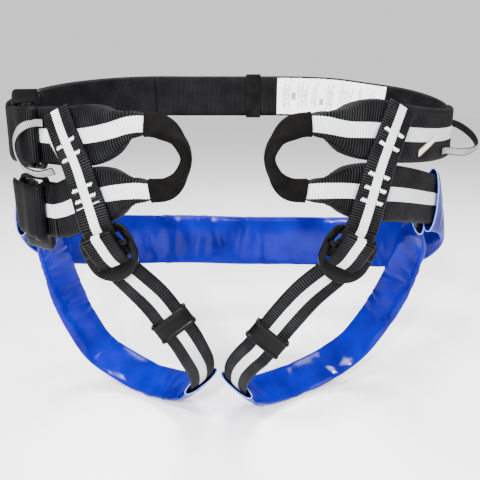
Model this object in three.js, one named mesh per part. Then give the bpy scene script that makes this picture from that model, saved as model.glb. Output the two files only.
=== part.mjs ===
// Climbing harness for hire and training walls: waist belt, two tie-in loops, leg loops and seat strap.
// Millimetres, +Z up. The wearer faces -Y, and +X points towards the wearer's left hand.
// Origin: the tie-in point, midway between the two tie-in loops.
import * as THREE from 'three';

// ---------------------------------------------------------------- driving dimensions
const BAND = { width: 45, thick: 2.4 };      // waist, seat and tie-in webbing
const STRAP = { width: 25, thick: 2.2 };     // riser and leg webbing
const GAP = 0.5;                             // clearance between neighbouring layers
const LAYER = BAND.thick / 2 + GAP / 2;      // half the pitch of two stacked band layers
const FOLDED = { width: 15.4, thick: 4.6 };  // band folded in half inside a loop cover
const COVER = { width: 19.4, thick: 8.6, wall: 1.3 };
const LEG_SLEEVE = { width: 37, thick: 8, wall: 1.2 };
const SEAT_SLEEVE = { width: 58, thick: 11, wall: 1.2 };
const LABEL = { width: 41, thick: 0.6 };
const GEAR = { width: 10, thick: 2.4 };
const WAIST_KEEPER = { length: 17, width: 49.6, thick: 6.8, wall: 1.6 };
const LEG_KEEPER = { length: 16, width: 34, thick: 12.4, wallWide: 3, wallThick: 2 };
const PLATE = { thick: 3, bar: 5 };          // leg buckle plate and its top bar
const HIP = { length: 38, height: 64, thick: 3.5, bar: 6, rim: 4, barLength: 61, barWide: 9, barThick: 3.2 };

const V = (x, y, z) => new THREE.Vector3(x, y, z);

// ---------------------------------------------------------------- stations along a strip
// A control point is [x, y, z, nx, ny, nz] with an optional width and thickness.
// Its second half is the direction that the front face looks in.

function spline(controls, perSegment) {
  const places = new THREE.CatmullRomCurve3(controls.map((c) => V(c[0], c[1], c[2])), false, 'centripetal');
  const segments = controls.length - 1;
  const stations = [];
  for (let i = 0; i <= segments * perSegment; i += 1) {
    const u = i / perSegment;
    const k = Math.min(Math.floor(u), segments - 1);
    const f = u - k;
    const [a, b] = [controls[k], controls[k + 1]];
    const mix = (j, other) => THREE.MathUtils.lerp(a[j] ?? other, b[j] ?? other, f);
    stations.push({
      p: places.getPoint(u / segments),
      n: V(mix(3), mix(4), mix(5)).normalize(),
      width: a[6] || b[6] ? mix(6, BAND.width) : undefined,
      thick: a[7] || b[7] ? mix(7, BAND.thick) : undefined,
    });
  }
  return stations;
}

// Gives every station its tangent t, front normal n and width direction w, at right angles to each other.
function framed(stations) {
  return stations.map((s, i) => {
    const before = stations[Math.max(i - 1, 0)].p;
    const after = stations[Math.min(i + 1, stations.length - 1)].p;
    const t = after.clone().sub(before).normalize();
    const w = s.n.clone().cross(t).normalize();
    const n = t.clone().cross(w).normalize();
    return { ...s, t, w, n };
  });
}

const shifted = (stations, offset) => framed(stations).map((s) => ({
  ...s,
  p: s.p.clone().addScaledVector(s.n, offset),
}));

const flipped = (stations) => [...stations].reverse().map((s) => ({ ...s, n: s.n.clone().negate() }));

// ---------------------------------------------------------------- solids from stations
function ring(s, width, thick) {
  const [a, b] = [width / 2, thick / 2];
  const corners = [[-a, -b], [a, -b], [a, b], [-a, b]];
  return corners.map(([x, y]) => s.p.clone().addScaledVector(s.w, x).addScaledVector(s.n, y));
}

function solid(rings, faces) {
  const geometry = new THREE.BufferGeometry();
  geometry.setAttribute('position', new THREE.Float32BufferAttribute(rings.flat().flatMap((p) => p.toArray()), 3));
  geometry.setIndex(faces);
  geometry.computeVertexNormals();
  return geometry;
}

function wall(faces, a, b, reverse) {
  for (let j = 0; j < 4; j += 1) {
    const k = (j + 1) % 4;
    const quad = reverse ? [a + j, b + k, a + k, a + j, b + j, b + k] : [a + j, a + k, b + k, a + j, b + k, b + j];
    faces.push(...quad);
  }
}

// A solid strip of webbing, tape or label.
function strip(stations, size) {
  const frames = framed(stations);
  const rings = frames.map((s) => ring(s, s.width ?? size.width, s.thick ?? size.thick));
  const faces = [0, 2, 1, 0, 3, 2];
  for (let i = 0; i < rings.length - 1; i += 1) wall(faces, 4 * i, 4 * i + 4, false);
  const last = 4 * (rings.length - 1);
  faces.push(last, last + 1, last + 2, last, last + 2, last + 3);
  return solid(rings, faces);
}

// A flat hollow sleeve, open at both ends.
function sleeve(stations, size) {
  const frames = framed(stations);
  const wideWall = size.wallWide ?? size.wall;
  const thickWall = size.wallThick ?? size.wall;
  const outer = frames.map((s) => ring(s, size.width, size.thick));
  const inner = frames.map((s) => ring(s, size.width - 2 * wideWall, size.thick - 2 * thickWall));
  const inside = 4 * frames.length;
  const last = inside - 4;
  const faces = [];
  for (let i = 0; i < last; i += 4) {
    wall(faces, i, i + 4, false);
    wall(faces, inside + i, inside + i + 4, true);
  }
  wall(faces, inside, 0, false);
  wall(faces, last, inside + last, false);
  return solid([...outer, ...inner], faces);
}

// ---------------------------------------------------------------- flat plates in a local frame
// u runs along the strap, w across it and n out of the front face.
function localFrame(centre, along, front) {
  const n = front.clone().normalize();
  const u = along.clone().addScaledVector(n, -along.dot(n)).normalize();
  const w = n.clone().cross(u).normalize();
  const at = (du, dn, dw = 0) => centre.clone().addScaledVector(u, du).addScaledVector(n, dn).addScaledVector(w, dw);
  const dir = (du, dn) => u.clone().multiplyScalar(du).addScaledVector(n, dn).normalize();
  return { at, dir, u, n, w };
}

// Control point at (u, n) in a frame, with its front face looking along (nu, nn).
function local(frame, u, n, nu, nn, dw = 0) {
  return [...frame.at(u, n, dw).toArray(), ...frame.dir(nu, nn).toArray()];
}

// Half a turn about a bar, from the side facing -n to the side facing +n; out is +1 or -1 along u.
function halfTurn(frame, u, n, radius, out, dw = 0) {
  const stations = [];
  const steps = 8;
  for (let i = 0; i <= steps; i += 1) {
    const angle = -Math.PI / 2 + (Math.PI * i) / steps;
    const [c, s] = [out * Math.cos(angle), Math.sin(angle)];
    stations.push({ p: frame.at(u + radius * c, n + radius * s, dw), n: frame.dir(c, s) });
  }
  return stations;
}

const joined = (...runs) => runs.flatMap((run, i) => (i ? run.slice(1) : run));

// Plate drawn in (u, w) and extruded through its thickness, centred on n = 0.
function plate(frame, shape, thick, n = 0) {
  const geometry = new THREE.ExtrudeGeometry(shape, { depth: thick, bevelEnabled: false, curveSegments: 6 });
  geometry.translate(0, 0, -thick / 2);
  const basis = new THREE.Matrix4().makeBasis(frame.u, frame.w, frame.n);
  basis.setPosition(frame.at(0, n));
  return geometry.applyMatrix4(basis);
}

function roundedRectangle(u0, u1, w0, w1, r, Kind = THREE.Shape) {
  const shape = new Kind();
  shape.moveTo(u0 + r, w0);
  shape.lineTo(u1 - r, w0);
  shape.absarc(u1 - r, w0 + r, r, -Math.PI / 2, 0);
  shape.lineTo(u1, w1 - r);
  shape.absarc(u1 - r, w1 - r, r, 0, Math.PI / 2);
  shape.lineTo(u0 + r, w1);
  shape.absarc(u0 + r, w1 - r, r, Math.PI / 2, Math.PI);
  shape.lineTo(u0, w0 + r);
  shape.absarc(u0 + r, w0 + r, r, Math.PI, 1.5 * Math.PI);
  return shape;
}

// ---------------------------------------------------------------- materials and nodes
const FINISH = {
  webbing: { color: 0x101012, roughness: 0.8, metalness: 0 },
  sleeve: { color: 0x0f37ff, roughness: 0.25, metalness: 0 },
  cover: { color: 0x2a2220, roughness: 0.8, metalness: 0 },
  metal: { color: 0x232020, roughness: 0.45, metalness: 0.7 },
  keeper: { color: 0x191614, roughness: 0.6, metalness: 0 },
  label: { color: 0xf2f2f0, roughness: 0.7, metalness: 0 },
  tape: { color: 0xe4e4e4, roughness: 0.7, metalness: 0 },
};

const group = new THREE.Group();

function add(name, finish, geometry) {
  const mesh = new THREE.Mesh(geometry, new THREE.MeshStandardMaterial(FINISH[finish]));
  mesh.name = name;
  group.add(mesh);
}

// ---------------------------------------------------------------- hip adjusters, left hip
// u runs from the front bar to the rear bar, w points down and the plates are shifted along it.
const hipFrame = (z) => localFrame(V(-149, 60, z), V(-0.82, 0.57, 0), V(-0.57, -0.82, 0));
const HIPS = {
  upper: { frame: hipFrame(11), shift: -4 },
  lower: { frame: hipFrame(-50), shift: 4 },
};
const HALF_WEB = BAND.thick / 2;
// Centre-line radius of a web that clears the corners of a square-edged bar.
const turnRadius = (barThick, webThick) => (barThick / 2) * Math.SQRT2 + 0.4 + webThick / 2;
const BAND_TURN = turnRadius(HIP.thick, BAND.thick);
const BELT_TURN = turnRadius(HIP.barThick, BAND.thick);
const UNDER_BAR = BAND_TURN + 2 * LAYER + 0.1;               // belt layer between band and slide bar
const BAR_N = UNDER_BAR + BELT_TURN;                         // slide bar centre, out of the frame
const BAR_U = 1;

// Belt or seat webbing: over the frame, round the slide bar, in through the window and back as a tail.
function doubledBack(frame) {
  const over = spline([
    local(frame, 38, 5.6, 0.12, 1),
    local(frame, 24, 9.2, 0.2, 1),
    local(frame, 12, BAR_N + BELT_TURN - 0.8, 0.12, 1),
    local(frame, BAR_U, BAR_N + BELT_TURN, 0, 1),
  ], 3);
  const turn = halfTurn(frame, BAR_U, BAR_N, BELT_TURN, -1).reverse();
  const under = spline([
    local(frame, BAR_U, UNDER_BAR, 0, -1),
    local(frame, 9, UNDER_BAR, 0, -1),
    local(frame, 15, 2.6, -0.6, -1),
    local(frame, 21, -2.4, -0.6, -1),
    local(frame, 28, -BAND_TURN - 0.6, 0, -1),
    local(frame, 40, -BAND_TURN - 0.6, 0, -1),
  ], 3);
  return joined(over, turn, under);
}

// Front band: over the front bar, through the window and sewn back behind itself.
function roundFrontBar(frame) {
  const edge = HIP.bar - HIP.thick / 2;
  return joined(
    spline([local(frame, 0, BAND_TURN, 0, 1), local(frame, edge, BAND_TURN, 0, 1)], 1),
    halfTurn(frame, edge, 0, BAND_TURN, 1).reverse(),
    spline([
      local(frame, edge, -BAND_TURN, 0, -1),
      local(frame, -6, -BAND_TURN + 0.2, 0, -1),
      local(frame, -22, -0.4, 0.12, -1),
    ], 2),
  );
}

for (const [level, { frame, shift }] of Object.entries(HIPS)) {
  const outline = roundedRectangle(0, HIP.length, shift - HIP.height / 2, shift + HIP.height / 2, 5);
  const half = HIP.height / 2 - HIP.rim;
  outline.holes.push(roundedRectangle(HIP.bar, HIP.length - HIP.rim, shift - half, shift + half, 2, THREE.Path));
  add(`${level}_hip_buckle_frame`, 'metal', plate(frame, outline, HIP.thick));
  const [u0, w0] = [BAR_U - HIP.barThick / 2, HIP.barLength / 2];
  const bar = roundedRectangle(u0, u0 + HIP.barWide, shift - w0, shift + w0, 1.5);
  add(`${level}_hip_buckle_bar`, 'metal', plate(frame, bar, HIP.barThick, BAR_N));
}

// ---------------------------------------------------------------- waist belt
const OUT = 1.65;   // half the pitch of two layers sewn together at the right hip
const backBelt = [
  [-189, 88, 12, -0.8, -0.6, 0],
  [-195, 104, 14, -0.96, -0.28, 0],
  [-196, 126, 18, -1, 0.05, 0],
  [-190, 155, 24, -0.97, 0.25, 0.03],
  [-178, 190, 30, -0.92, 0.4, 0.05],
  [-160, 228, 35, -0.82, 0.57, 0.05],
  [-130, 260, 39, -0.5, 0.87, 0.03],
  [-90, 276, 41, -0.22, 0.97, 0],
  [-50, 280, 41, 0, 1, 0],
  [-15, 280, 41, 0, 1, 0],
  [20, 280, 41, 0, 1, 0],
  [55, 280, 41, 0, 1, 0],
  [84, 279, 40.5, 0.1, 0.99, 0],
  [114, 275, 39, 0.26, 0.97, 0],
  [150, 263, 34, 0.42, 0.9, 0.03],
  [188, 237, 27, 0.72, 0.69, 0.05],
  [208, 205, 19, 0.93, 0.36, 0.05],
  [213, 172, 12, 1, 0.05, 0.03],
  [210, 150, 9, 0.95, -0.3, 0],
  [200, 128, 8, 0.9, -0.45, 0],
];
const beltRun = spline(backBelt, 3);
const perSegment = 3;
const TAIL_FROM = 1;
const TAIL_TO = 7;
const SEWN_FROM = 17;
const tailRun = shifted(beltRun.slice(TAIL_FROM * perSegment, TAIL_TO * perSegment), -2 * LAYER - 0.3);
const sewnEnd = (run, from, offset) => [
  ...run.slice(0, from * perSegment),
  ...shifted(run, offset).slice(from * perSegment),
];
const beltMain = sewnEnd(beltRun, SEWN_FROM, -OUT);
add('waist_belt', 'webbing', strip(
  [...flipped(tailRun), ...doubledBack(HIPS.upper.frame).reverse(), ...beltMain],
  BAND,
));

const labelRun = shifted(beltRun, -HALF_WEB - 0.35 - LABEL.thick / 2);
add('care_label', 'label', strip(labelRun.filter((s) => s.p.x > 52 && s.p.x < 172 && s.p.y > 240), LABEL));

const straight = (x0, x1, y, z) => spline([[x0, y, z, 0, 1, 0], [x1, y, z, 0, 1, 0]], 1);
const KEEPER_X = 24;
const keeperEnds = [KEEPER_X - WAIST_KEEPER.length / 2, KEEPER_X + WAIST_KEEPER.length / 2];
add('waist_keeper', 'keeper', sleeve(straight(...keeperEnds, 280, 41), WAIST_KEEPER));

// ---------------------------------------------------------------- front webbing, loops and seat webbing
const FULL = [BAND.width, BAND.thick];
const HALF = [FOLDED.width, FOLDED.thick];

// The loop's centre line from the upper arm, round the apex, to the lower arm; side is +1 or -1 in x.
const loopCore = (side, top, low) => [
  [side * 57, 0, top, side * 0.2, -0.98, 0.1, ...HALF],
  [side * 45, -3, top - 2, side * -0.1, -0.93, 0.35, ...HALF],
  [side * 34, -5, 12, side * -0.85, -0.2, 0.5, ...HALF],
  [side * 29, -5, 0, -side, 0.06, 0, ...HALF],
  [side * 33, -5, -12, side * -0.85, -0.2, -0.45, ...HALF],
  [side * 43, -3, low + 2, side * -0.1, -0.93, -0.35, ...HALF],
  [side * 55, 0, low, side * 0.2, -0.98, -0.1, ...HALF],
];

const rightUpper = [
  [213, 172, 11, 1, 0.05, 0.03, ...FULL],
  [210, 150, 9, 0.95, -0.3, 0, ...FULL],
  [200, 128, 8, 0.87, -0.5, 0, ...FULL],
  [172, 87, 9, 0.8, -0.6, 0, ...FULL],
  [134, 45, 13, 0.68, -0.74, 0, ...FULL],
  [109, 25, 17, 0.54, -0.84, 0, ...FULL],
  [85, 12.5, 18.5, 0.4, -0.92, 0, 38, 2.8],
  [67, 4, 22, 0.3, -0.95, 0, 26, 4.4],
];
const rightLower = [
  [67, 4, -24.5, 0.3, -0.95, 0, 26, 4.4],
  [86, 13, -26, 0.42, -0.91, 0, 38, 2.8],
  [110, 25.5, -30, 0.54, -0.84, 0, ...FULL],
  [136, 46, -35, 0.68, -0.74, 0, ...FULL],
  [170, 85, -45, 0.82, -0.57, 0, ...FULL],
  [194, 118, -54, 0.88, -0.45, 0.1, ...FULL],
  [203, 138, -65, 0.96, -0.2, 0.15, ...FULL],
  [205, 152, -76, 1, 0, 0.15, ...FULL],
];
const leftUpper = [
  [-142.8, 51.5, 11, -0.57, -0.82, 0, ...FULL],
  [-133, 44.7, 11, -0.6, -0.8, 0, ...FULL],
  [-122, 36, 11.5, -0.6, -0.8, 0, ...FULL],
  [-106, 24.5, 13, -0.5, -0.86, 0, ...FULL],
  [-86, 12.5, 17, -0.4, -0.92, 0, 38, 2.8],
  [-68, 4, 22, -0.3, -0.95, 0, 26, 4.4],
];
const leftLower = [
  [-66, 4, -24.5, -0.3, -0.95, 0, 26, 4.4],
  [-84, 12.5, -27.5, -0.4, -0.92, 0, 38, 2.8],
  [-104, 24.5, -33.5, -0.5, -0.86, 0, ...FULL],
  [-122, 36, -42, -0.6, -0.8, 0, ...FULL],
  [-133, 44.7, -47, -0.6, -0.8, 0, ...FULL],
  [-142.8, 51.5, -50, -0.57, -0.82, 0, ...FULL],
];
const TOP = 22.5;
const LOW = -24;
const loopEnd = 2;

const rightBand = spline([...rightUpper, ...loopCore(1, TOP, LOW), ...rightLower], perSegment);
const onBelt = shifted(rightBand, OUT).slice(0, loopEnd * perSegment + 1);
add('right_front_webbing', 'webbing', strip([...onBelt, ...rightBand.slice(loopEnd * perSegment + 2)], BAND));

const leftBand = spline([...leftUpper, ...loopCore(-1, TOP, LOW), ...leftLower], perSegment);
add('left_front_webbing', 'webbing', strip(
  [
    ...roundFrontBar(HIPS.upper.frame).reverse(),
    ...leftBand,
    ...roundFrontBar(HIPS.lower.frame),
  ],
  BAND,
));
for (const [name, band, upper] of [['right', rightBand, rightUpper], ['left', leftBand, leftUpper]]) {
  const from = upper.length * perSegment;
  const to = from + (loopCore(1, TOP, LOW).length - 1) * perSegment;
  add(`${name}_loop_cover`, 'cover', sleeve(band.slice(from, to + 1), COVER));
}

// Seat webbing: doubled back at the lower hip adjuster, then behind the wearer inside its sleeve.
const seatRoute = [
  [-189, 88, -50, -0.8, -0.6, 0],
  [-196, 106, -53, -0.96, -0.28, 0],
  [-198, 126, -64, -1, 0.05, -0.05],
  [-195, 150, -84, -0.97, 0.25, -0.1],
  [-182, 182, -104, -0.85, 0.5, -0.1],
  [-152, 212, -116, -0.5, 0.86, -0.05],
  [-112, 226, -120, -0.22, 0.97, 0],
  [-50, 235, -122, -0.08, 1, 0],
  [10, 236, -124, 0, 1, 0],
  [70, 235, -124, 0.08, 1, 0],
  [125, 228, -123, 0.25, 0.97, 0],
  [165, 212, -119, 0.6, 0.8, -0.05],
  [192, 188, -108, 0.85, 0.5, -0.05],
  [205, 165, -90, 0.98, 0.2, 0],
  [206, 148, -74, 1, 0, 0.1],
  [201, 132, -62, 0.96, -0.25, 0.15],
];
const seatRun = spline(seatRoute, perSegment);
const SEAT_TAIL_TO = 3;
const seatTail = shifted(seatRun.slice(perSegment, SEAT_TAIL_TO * perSegment), -2 * LAYER - 0.3);
const SEAT_WEB_END = 13;
add('seat_webbing', 'webbing', strip(
  [
    ...flipped(seatTail),
    ...doubledBack(HIPS.lower.frame).reverse(),
    ...seatRun.slice(0, SEAT_WEB_END * perSegment + 1),
  ],
  BAND,
));
const SEAT_SLEEVE_FROM = 5;
const SEAT_SLEEVE_SHIFT = -1.6;   // towards the wearer, where the tail lies
add('seat_sleeve', 'sleeve', sleeve(shifted(seatRun.slice(SEAT_SLEEVE_FROM), SEAT_SLEEVE_SHIFT), SEAT_SLEEVE));

// ---------------------------------------------------------------- risers, leg buckles and leg loops
const SIDES = {
  right: {
    buckle: localFrame(V(90, 15, -76), V(-0.45, 0, -0.89), V(0.2, -0.98, 0)),
    riser: [
      [130, 37.5, 36, 0.62, -0.78, 0],
      [123, 31.5, 18, 0.6, -0.8, 0],
      [113.5, 23, -9, 0.54, -0.84, 0],
      [105.5, 17, -28, 0.5, -0.87, 0],
      [100.5, 13.5, -44, 0.4, -0.92, 0],
    ],
    strap: [
      [61, 14.2, -108, -0.05, -0.98, 0],
      [47, 13.2, -123.5, -0.15, -0.98, 0.1],
      [30, 12.7, -145.5, -0.15, -0.98, 0.1],
      [23, 12.5, -154.5, -0.15, -0.98, 0.1],
      [15, 20, -167, -0.35, -0.93, -0.05],
      [6, 44, -192, -0.6, -0.75, -0.3],
      [5, 73, -221, -0.65, -0.45, -0.6],
      [15, 97, -243, -0.5, -0.1, -0.86],
      [37, 117, -250, -0.35, 0.25, -0.9],
      [68, 140, -252, -0.15, 0.5, -0.85],
      [102, 155, -243, 0.1, 0.62, -0.78],
      [131, 160, -223, 0.36, 0.66, -0.66],
      [152, 156, -190, 0.62, 0.68, -0.4],
      [166, 145, -153, 0.8, 0.6, 0],
      [172, 130, -118, 0.88, 0.45, 0.1],
      [174, 117, -90, 0.92, 0.38, 0.05],
      [173, 107, -70, 0.9, -0.1, 0],
      [167, 92, -47, 0.82, -0.57, 0],
    ],
  },
  left: {
    buckle: localFrame(V(-90.5, 14, -74), V(0.41, 0, -0.91), V(-0.2, -0.98, 0)),
    riser: [
      [-130, 38, 30, -0.6, -0.8, 0],
      [-124, 33.5, 14, -0.6, -0.8, 0],
      [-114, 26, -10, -0.54, -0.84, 0],
      [-106, 19.5, -26, -0.5, -0.87, 0],
      [-100.5, 14, -38, -0.4, -0.92, 0],
    ],
    strap: [
      [-69.5, 14.4, -101.5, 0, -1, 0],
      [-57, 13.3, -114, 0.15, -0.98, 0.1],
      [-44, 12.9, -132.7, 0.15, -0.98, 0.1],
      [-37, 12.6, -142.8, 0.15, -0.98, 0.1],
      [-30, 20, -160, 0.35, -0.93, -0.05],
      [-25, 44, -188, 0.6, -0.75, -0.3],
      [-28, 73, -217, 0.65, -0.45, -0.6],
      [-39, 98, -239, 0.5, -0.1, -0.86],
      [-57, 117, -247, 0.35, 0.25, -0.9],
      [-88, 140, -252, 0.15, 0.5, -0.85],
      [-118, 155, -244, -0.1, 0.62, -0.78],
      [-145, 159, -225, -0.36, 0.66, -0.66],
      [-161, 154, -192, -0.62, 0.68, -0.4],
      [-170, 143, -155, -0.8, 0.6, 0],
      [-173, 130, -118, -0.88, 0.45, 0.1],
      [-173, 117, -92, -0.92, 0.38, 0.05],
      [-170, 105, -72, -0.9, -0.1, 0],
      [-162, 90, -50, -0.7, -0.7, 0],
    ],
  },
};
const HALF_STRAP = STRAP.thick / 2;
const TOP_BAR_U = -17.5;
const RISER_TURN = turnRadius(PLATE.thick, STRAP.thick);
const SLIDE = { u: -4, n: 4, wide: 4, thick: 3.6, length: 38 };
const WRAP_TURN = SLIDE.thick / 2 + 0.75 + HALF_STRAP;
const LOAD_N = -3.7;        // leg webbing behind the plate
const TAIL_STEP = 3;        // pitch of the leg webbing and its tail
const KEEPER_AT = 2;        // the control point of the strap that the keeper sits at
const ENTRY = 1;            // stations before the leg webbing's free run starts at its first control point
const TAIL_LENGTH = 6;      // the tail ends at this control point of the leg webbing
const SLEEVE_FROM = 7;
const SLEEVE_TO = 17;

// Shield-shaped plate with a top bar and one window; x is u, y is w.
function buckleShape() {
  const shape = new THREE.Shape();
  shape.moveTo(-20, -15);
  shape.quadraticCurveTo(-19, -21, -10, -22);
  shape.lineTo(3, -22);
  shape.bezierCurveTo(14, -21, 22, -13, 23, 0);
  shape.bezierCurveTo(22, 13, 14, 21, 3, 22);
  shape.lineTo(-10, 22);
  shape.quadraticCurveTo(-19, 21, -20, 15);
  shape.lineTo(-20, -15);
  const window = new THREE.Path();
  window.moveTo(-15, -14);
  window.lineTo(-15, 14);
  window.lineTo(6, 14);
  window.lineTo(6, 17.5);
  window.lineTo(11, 17.5);
  window.lineTo(11, -17.5);
  window.lineTo(6, -17.5);
  window.lineTo(6, -14);
  window.lineTo(-15, -14);
  shape.holes.push(window);
  return shape;
}

// Rounded bar lying across a frame at (u, n).
function crossBar(frame, { u, n, wide, thick, length }) {
  const section = roundedRectangle(-wide / 2, wide / 2, -thick / 2, thick / 2, thick * 0.4);
  const geometry = new THREE.ExtrudeGeometry(section, { depth: length, bevelEnabled: false, curveSegments: 3 });
  geometry.translate(0, 0, -length / 2);
  const basis = new THREE.Matrix4().makeBasis(frame.u, frame.n.clone().negate(), frame.w);
  return geometry.applyMatrix4(basis.setPosition(frame.at(u, n)));
}

for (const [name, { buckle, riser, strap }] of Object.entries(SIDES)) {
  add(`${name}_leg_buckle_frame`, 'metal', plate(buckle, buckleShape(), PLATE.thick));
  add(`${name}_leg_buckle_bar`, 'metal', crossBar(buckle, SLIDE));

  const edge = -20 + PLATE.bar - PLATE.thick / 2;
  const riserFoot = local(buckle, TOP_BAR_U - 4, RISER_TURN + 0.4, 0, 1);
  const riserMain = joined(
    spline([...riser, riserFoot], perSegment),
    spline([riserFoot, local(buckle, edge, RISER_TURN, 0, 1)], 1),
  );
  const riserBack = spline([
    local(buckle, edge, -RISER_TURN, 0, -1),
    local(buckle, TOP_BAR_U - 2.5, -RISER_TURN + 0.2, 0, -1),
  ], 1);
  const riserTurn = halfTurn(buckle, edge, 0, RISER_TURN, 1).reverse();
  add(`${name}_riser`, 'webbing', strip(joined(riserMain, riserTurn, riserBack), STRAP));

  const front = spline([
    local(buckle, 9.5, -2.4, 0.75, 1),
    local(buckle, 6.5, 0.6, 0.6, 1),
    local(buckle, 2.5, 4.6, 0.4, 1),
    local(buckle, SLIDE.u, SLIDE.n + WRAP_TURN, 0, 1),
  ], 2);
  const turn = halfTurn(buckle, SLIDE.u, SLIDE.n, WRAP_TURN, -1).reverse();
  const back = spline([
    local(buckle, SLIDE.u, SLIDE.n - WRAP_TURN, 0, -1),
    local(buckle, 0, -0.8, -0.5, -1),
    local(buckle, 3.5, -4.4, -0.5, -1),
    local(buckle, 7, LOAD_N - TAIL_STEP, 0, -1),
  ], 2);
  add(`${name}_strap_wrap`, 'webbing', strip(joined(front, turn, back), STRAP));

  const entry = [local(buckle, 11.5, LOAD_N - 0.2, 0, 1), local(buckle, 17, LOAD_N, 0, 1)];
  const run = joined(spline(entry, 1), spline([entry[1], ...strap], perSegment));
  add(`${name}_leg_webbing`, 'webbing', strip(run, STRAP));
  const behind = shifted(run, -TAIL_STEP).slice(0, ENTRY + TAIL_LENGTH * perSegment);
  add(`${name}_leg_tail`, 'webbing', strip(behind, STRAP));

  const place = (i) => V(...strap[i].slice(0, 3));
  const along = place(KEEPER_AT).sub(place(KEEPER_AT - 1));
  const keeper = localFrame(place(KEEPER_AT), along, V(...strap[KEEPER_AT].slice(3, 6)));
  const half = LEG_KEEPER.length / 2;
  const keeperRun = [-half, half].map((u) => ({ p: keeper.at(u, -TAIL_STEP / 2), n: keeper.n.clone() }));
  add(`${name}_leg_keeper`, 'keeper', sleeve(keeperRun, LEG_KEEPER));

  const sleeveEnds = [SLEEVE_FROM, SLEEVE_TO].map((control) => ENTRY + control * perSegment);
  const covered = run.slice(sleeveEnds[0], sleeveEnds[1] + 1);
  add(`${name}_leg_sleeve`, 'sleeve', sleeve(covered, LEG_SLEEVE));
}

// ---------------------------------------------------------------- gear loops
const rightGear = [
  [213.5, 204, 18, 0.9, 0.4, 0],
  [222, 200, 16, 0.75, 0.6, -0.1],
  [233, 190, 13, 0.85, 0.4, -0.2],
  [241, 170, 4, 0.95, 0.1, -0.3],
  [238, 147, -5, 0.9, -0.3, -0.3],
  [224, 130, -9, 0.7, -0.7, -0.1],
  [213, 124, -9, 0.6, -0.8, 0],
  [205, 120.5, -7, 0.8, -0.6, 0],
];
add('right_gear_loop', 'tape', strip(spline(rightGear, 4), GEAR));

const roll = HIPS.upper.frame;
const leftGear = [
  [-200.5, 107, 18, -0.96, -0.28, 0],
  [-205, 96, 16, -0.9, -0.5, 0],
  local(roll, 48, 13.5, 0.3, 1, -1),
  local(roll, 32, 17.5, 0.1, 1, 10),
  local(roll, 18, 18, 0, 1, 23),
  local(roll, 2, 17, -0.2, 1, 29),
  local(roll, -12, 12, -0.3, 1, 28),
  local(roll, -22, 8.5, -0.1, 1, 19),
];
add('left_gear_loop', 'tape', strip(spline(leftGear, 4), GEAR));

export default group;
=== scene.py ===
"""Climbing harness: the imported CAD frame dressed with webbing, sleeves, stitching and metal."""
import math

import bpy
import numpy as np
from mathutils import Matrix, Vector


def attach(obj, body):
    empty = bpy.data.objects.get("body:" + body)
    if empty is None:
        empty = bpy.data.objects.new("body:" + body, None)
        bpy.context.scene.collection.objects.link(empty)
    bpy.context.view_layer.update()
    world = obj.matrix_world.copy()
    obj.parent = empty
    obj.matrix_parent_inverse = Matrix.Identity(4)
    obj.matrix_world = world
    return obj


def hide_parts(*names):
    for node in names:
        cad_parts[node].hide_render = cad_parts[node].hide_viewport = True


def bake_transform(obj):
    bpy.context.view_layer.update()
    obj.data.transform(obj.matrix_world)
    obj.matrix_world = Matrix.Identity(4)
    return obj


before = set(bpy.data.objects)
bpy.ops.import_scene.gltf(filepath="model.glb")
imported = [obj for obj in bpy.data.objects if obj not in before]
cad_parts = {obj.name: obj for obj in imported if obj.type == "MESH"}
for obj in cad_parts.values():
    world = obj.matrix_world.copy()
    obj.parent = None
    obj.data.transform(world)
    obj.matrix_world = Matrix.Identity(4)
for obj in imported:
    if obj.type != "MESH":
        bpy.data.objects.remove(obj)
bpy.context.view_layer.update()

MM = 0.001

# ---------------------------------------------------------------- sizes, in millimetres
BAND = {"width": 45, "thick": 2.4, "pitch": 2.4, "columns": 30}
BELT = {"width": 45, "thick": 2.4, "pitch": 1.5, "columns": 24}
STRAP = {"width": 27, "thick": 2.2, "pitch": 1.95, "columns": 22}
GEAR = {"width": 5.6, "thick": 1.8, "pitch": 1.3, "columns": 12}
FOLD_HALF = 5.4       # half width of the flat part of the band where it is folded inside a loop cover
FOLD_RADIUS = 1.35
LOAD_N = -3.7
TAIL_STEP = 3.0
HALF_WEB = BAND["thick"] / 2
LAYER_STEP = 2 * 1.45
SEWN_OFFSET = 1.65
LABEL_WIDTH = 41
FLOOR_Z = -0.2675       # metres
WORLD_LIGHT = 1.0


# ---------------------------------------------------------------- runs: places and front normals
def unit(v):
    v = np.asarray(v, float)
    return v / np.maximum(np.linalg.norm(v, axis=-1, keepdims=True), 1e-12)


def curve_points(p, per):
    """Centripetal Catmull-Rom through the rows of p, as the CAD draws it."""
    p = np.asarray(p, float)
    before, after = 2 * p[0] - p[1], 2 * p[-1] - p[-2]
    q = np.vstack([before, p, after])
    out = []
    for i in range(len(p) - 1):
        x0, x1, x2, x3 = q[i : i + 4]
        d0, d1, d2 = (max(np.linalg.norm(b - a), 1e-4) ** 0.5 for a, b in ((x0, x1), (x1, x2), (x2, x3)))
        t1 = ((x1 - x0) / d0 - (x2 - x0) / (d0 + d1) + (x2 - x1) / d1) * d1
        t2 = ((x2 - x1) / d1 - (x3 - x1) / (d1 + d2) + (x3 - x2) / d2) * d1
        f = np.linspace(0, 1, per, endpoint=False)[:, None]
        out.append(x1 + t1 * f + (-3 * x1 + 3 * x2 - 2 * t1 - t2) * f**2 + (2 * x1 - 2 * x2 + t1 + t2) * f**3)
    return np.vstack([*out, p[-1:]])


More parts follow.
